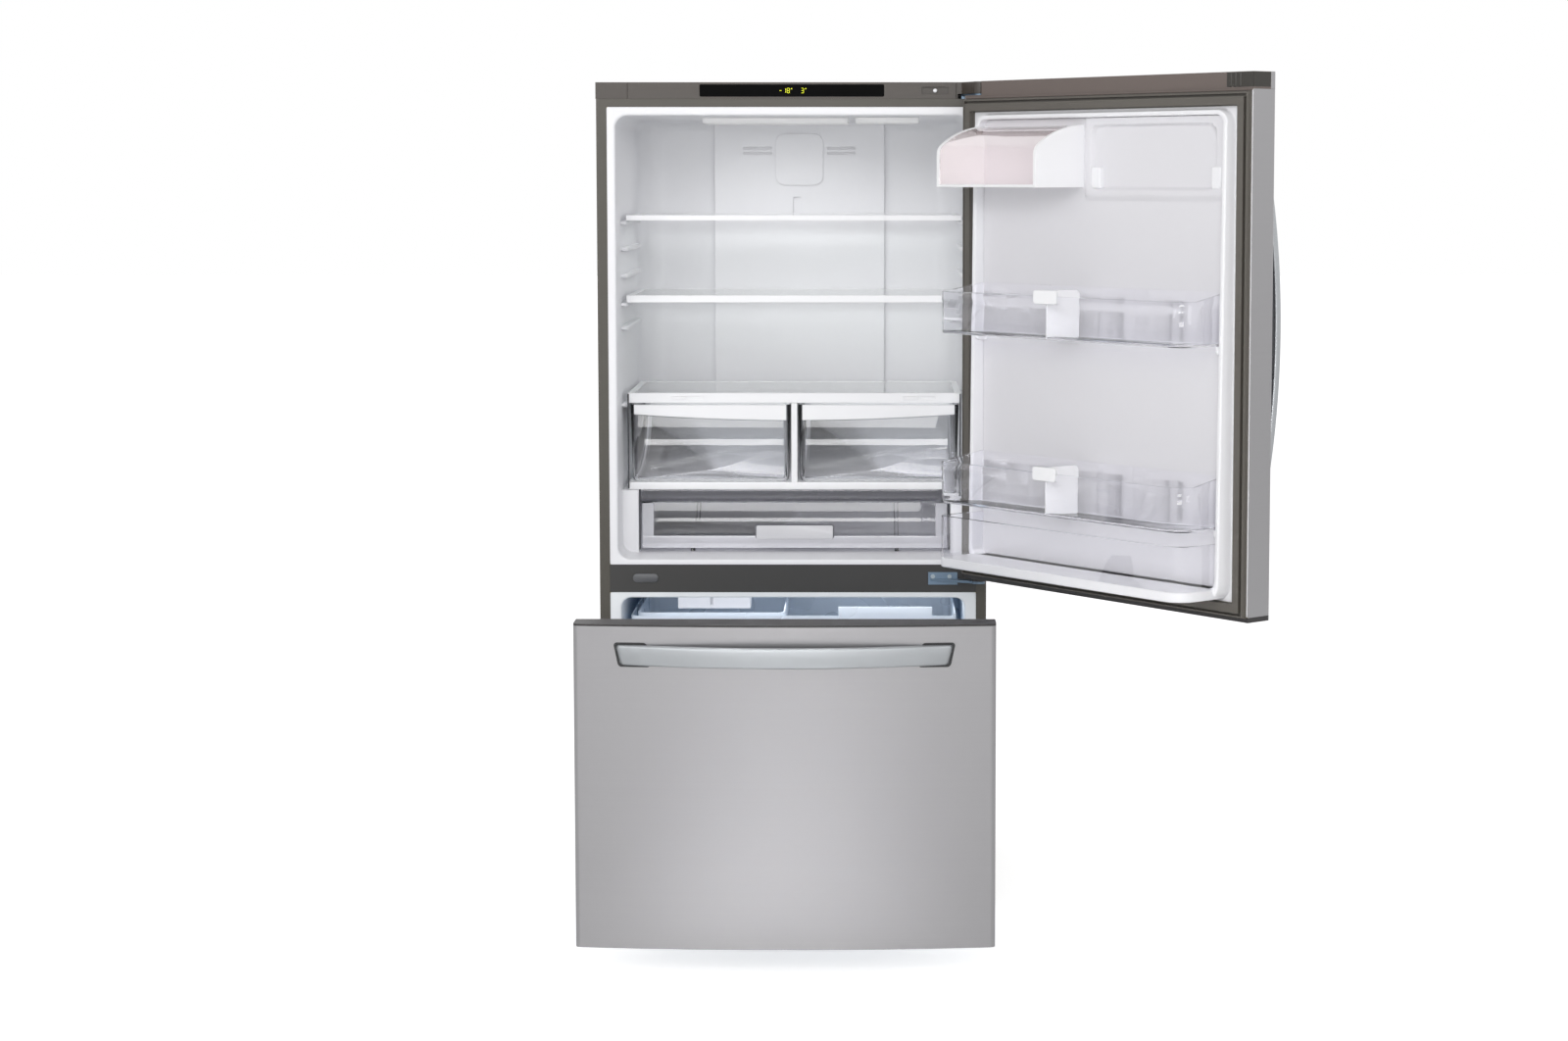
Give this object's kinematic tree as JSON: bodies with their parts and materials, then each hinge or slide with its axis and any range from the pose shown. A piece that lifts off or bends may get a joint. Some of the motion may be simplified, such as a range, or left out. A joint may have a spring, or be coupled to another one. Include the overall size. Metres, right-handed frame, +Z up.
{
  "type": "fridge freezer",
  "caption": "Bottom-freezer fridge with one hinged door, a pull-out freezer drawer, glass shelves, crispers, door bins and arched bar handles.",
  "frame": {"origin": "on the floor under the middle of the case's front plane", "axes": "+X to the right seen from the front, +Y from front to back, +Z up"},
  "size_m": [1.3814, 1.3956, 1.778],
  "materials": {
    "stainless_skin": "satin",
    "painted_steel": "satin",
    "zinc_steel": "satin",
    "white_plastic": "satin",
    "pale_blue_plastic": "satin",
    "taupe_plastic": "satin",
    "black_window": "gloss",
    "clear_glass": "gloss",
    "clear_plastic": "gloss",
    "foam": "matte",
    "gasket_rubber": "matte",
    "brushed_aluminium": "satin",
    "black_plastic": "matte",
    "copper_dark": "satin"
  },
  "bodies": {
    "cabinet": {"outer_shell": "painted_steel", "back_panel": "painted_steel", "foam_insulation": "foam", "fridge_liner": "white_plastic", "freezer_liner": "pale_blue_plastic", "mullion_bar": "painted_steel", "top_fascia": "taupe_plastic", "display_window": "black_window", "hinge_covers": "taupe_plastic", "upper_hinge": "zinc_steel", "centre_hinge": "zinc_steel", "hinge_screws": "zinc_steel", "shelf_glasses": "clear_glass", "shelf_trims": "white_plastic", "crisper_cover_glass": "clear_glass", "crisper_cover_frame": "white_plastic", "crisper_shelf": "white_plastic", "air_duct_panel": "white_plastic", "lamp_lenses": "white_plastic", "ice_maker": "white_plastic", "evaporator_cover": "pale_blue_plastic", "evaporator": "brushed_aluminium", "outer_rails": "zinc_steel", "compressor": "copper_dark", "condenser": "copper_dark", "machine_cover": "painted_steel", "base_frame": "painted_steel", "levelling_feet": "black_plastic"},
    "door": {"door_panel": "stainless_skin", "door_foam": "foam", "door_liner": "white_plastic", "door_gasket": "gasket_rubber", "door_top_cap": "taupe_plastic", "door_bottom_cap": "taupe_plastic", "door_handle": "brushed_aluminium", "butter_box": "white_plastic", "upper_door_bin": "clear_plastic", "lower_door_bin": "clear_plastic", "pocket_retainer": "clear_plastic"},
    "butter_cover": {"butter_cover": "clear_plastic"},
    "upper_divider": {"upper_bin_divider": "white_plastic"},
    "lower_divider": {"lower_bin_divider": "white_plastic"},
    "drawer": {"drawer_panel": "stainless_skin", "drawer_liner": "white_plastic", "drawer_gasket": "gasket_rubber", "drawer_top_cap": "taupe_plastic", "drawer_handle": "brushed_aluminium", "freezer_basket": "clear_plastic", "drawer_rails": "zinc_steel"},
    "rail_middles": {"middle_rails": "zinc_steel"},
    "left_crisper": {"left_crisper": "clear_plastic"},
    "right_crisper": {"right_crisper": "clear_plastic"},
    "left_slider": {"left_humidity_slider": "white_plastic"},
    "right_slider": {"right_humidity_slider": "white_plastic"},
    "pantry": {"pantry_drawer": "clear_plastic"},
    "upper_tray": {"freezer_tray": "clear_plastic", "ice_bin": "clear_plastic"},
    "fan": {"condenser_fan": "black_plastic"},
    "rear_rollers": {"rollers": "black_plastic"},
    "switch": {"switch_plunger": "white_plastic"}
  },
  "joints": [
    {"name": "door_hinge", "type": "hinge", "parent": "cabinet", "child": "door", "pos_m": [0.398, -0.04, 1.2], "axis": [0, 0, 1], "range_deg": [-129.3, 0]},
    {"name": "drawer_slide", "type": "slide", "parent": "cabinet", "child": "drawer", "axis": [0, -1, 0], "range_m": [-0.487, 0]},
    {"name": "rail_slide", "type": "slide", "parent": "cabinet", "child": "rail_middles", "axis": [0, -1, 0], "range_m": [-0.2435, 0]},
    {"name": "left_crisper_slide", "type": "slide", "parent": "cabinet", "child": "left_crisper", "axis": [0, -1, 0], "range_m": [0, 0.32]},
    {"name": "right_crisper_slide", "type": "slide", "parent": "cabinet", "child": "right_crisper", "axis": [0, -1, 0], "range_m": [0, 0.21]},
    {"name": "pantry_slide", "type": "slide", "parent": "cabinet", "child": "pantry", "axis": [0, -1, 0], "range_m": [0, 0.25]},
    {"name": "upper_tray_slide", "type": "slide", "parent": "cabinet", "child": "upper_tray", "axis": [0, -1, 0], "range_m": [0, 0.32]},
    {"name": "left_humidity_slide", "type": "slide", "parent": "cabinet", "child": "left_slider", "axis": [1, 0, 0], "range_m": [0, 0.04]},
    {"name": "right_humidity_slide", "type": "slide", "parent": "cabinet", "child": "right_slider", "axis": [1, 0, 0], "range_m": [0, 0.04]},
    {"name": "switch_press", "type": "slide", "parent": "cabinet", "child": "switch", "axis": [0, 1, 0], "range_m": [0, 0.006], "stiffness_N_per_m": 60, "springref_m": -0.004},
    {"name": "fan_spin", "type": "hinge", "parent": "cabinet", "child": "fan", "pos_m": [-0.07, 0.577, 0.143], "axis": [1, 0, 0], "continuous": true},
    {"name": "rollers_spin", "type": "hinge", "parent": "cabinet", "child": "rear_rollers", "pos_m": [0.34, 0.637, 0.013], "axis": [1, 0, 0], "continuous": true},
    {"name": "butter_cover_hinge", "type": "hinge", "parent": "door", "child": "butter_cover", "pos_m": [0.48655, -0.22081, 1.6725], "axis": [-0.6334, 0.7738, 0], "range_deg": [0, 75]},
    {"name": "upper_divider_slide", "type": "slide", "parent": "door", "child": "upper_divider", "axis": [-0.6334, 0.7738, 0], "range_m": [-0.3, 0.27]},
    {"name": "lower_divider_slide", "type": "slide", "parent": "door", "child": "lower_divider", "axis": [-0.6334, 0.7738, 0], "range_m": [-0.3, 0.27]}
  ],
  "couplings": [
    {"joint": "rail_slide", "follows": "drawer_slide", "ratio": 0.5}
  ]
}
